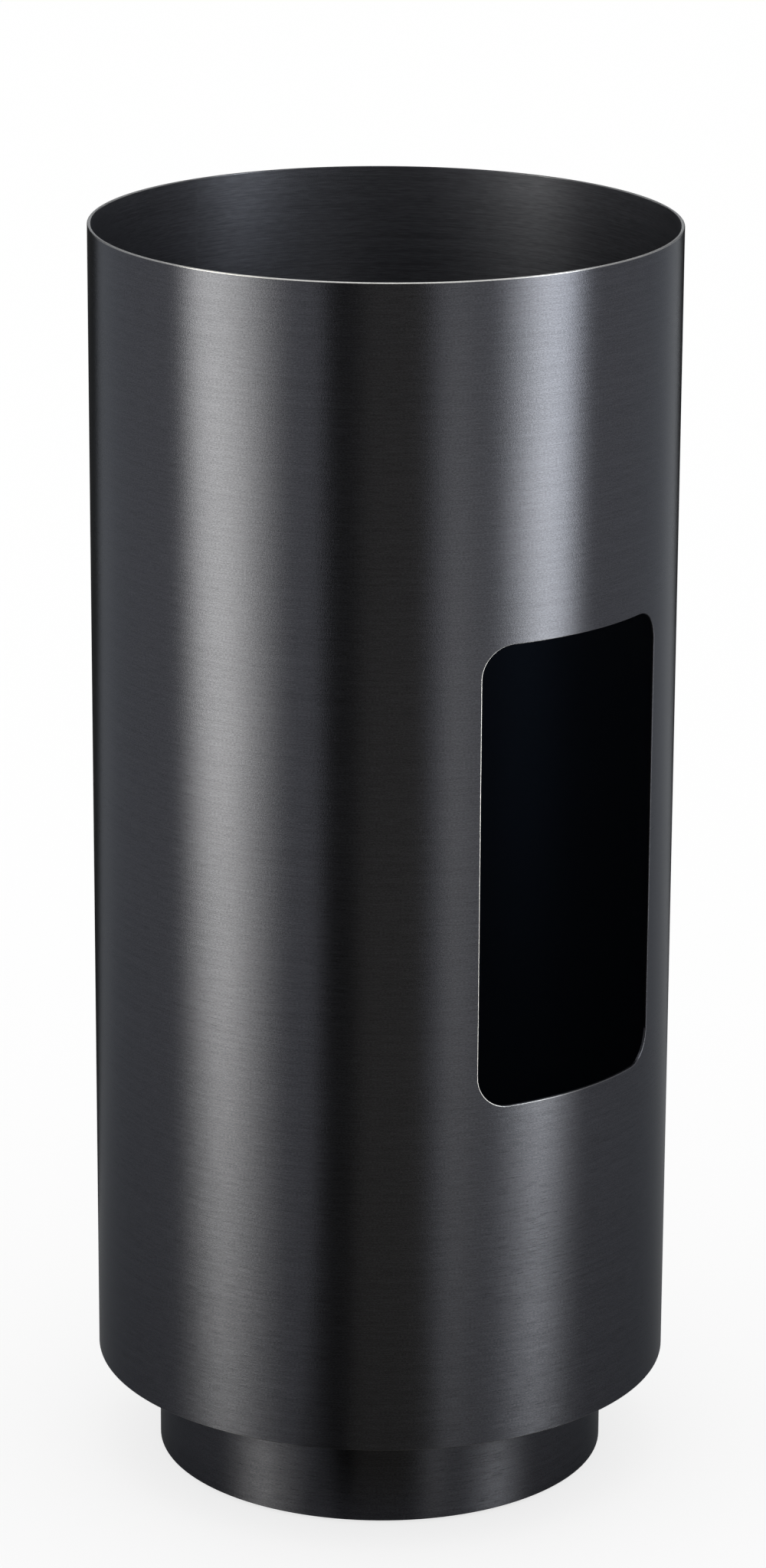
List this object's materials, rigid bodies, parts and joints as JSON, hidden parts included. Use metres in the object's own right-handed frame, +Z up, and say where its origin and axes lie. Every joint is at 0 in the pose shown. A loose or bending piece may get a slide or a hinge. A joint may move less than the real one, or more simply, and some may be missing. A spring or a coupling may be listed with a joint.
{
  "type": "umbrella stand",
  "caption": "Cylindrical steel umbrella stand with a rounded side window, a set-back weighted plinth and a lift-out drip tray.",
  "frame": {"origin": "on the floor under the tube's axis, at the centre of the four feet's soles", "axes": "+Z up along the tube's axis; -Y towards the middle of the side window"},
  "size_m": [0.25, 0.25, 0.55],
  "materials": {
    "blackened_steel": "blackened stainless steel, brushed round the tube",
    "coated_steel": "matt black coating",
    "cast_iron": "as cast, painted black",
    "plated_steel": "bright zinc plate",
    "seal_rubber": "matt",
    "foot_rubber": "matt",
    "tray_plastic": "fine moulded grain"
  },
  "bodies": {
    "stand": {"outer_shell": "blackened_steel", "floor_pan": "coated_steel", "plinth_ring": "blackened_steel", "plinth_deck": "coated_steel", "base_weight": "cast_iron", "spacer_right": "plated_steel", "spacer_rear": "plated_steel", "spacer_left": "plated_steel", "spacer_front": "plated_steel", "clamp_bolts": "plated_steel", "clamp_washers": "plated_steel", "seal_washers": "seal_rubber", "lock_nuts": "plated_steel", "foot_front_right": "foot_rubber", "foot_rear_right": "foot_rubber", "foot_rear_left": "foot_rubber", "foot_front_left": "foot_rubber", "foot_screws": "plated_steel"},
    "tray": {"drip_tray": "tray_plastic"}
  },
  "joints": [
    {"name": "tray_lift", "type": "slide", "parent": "stand", "child": "tray", "axis": [0, 0, 1], "range_m": [0, 0.52]}
  ]
}
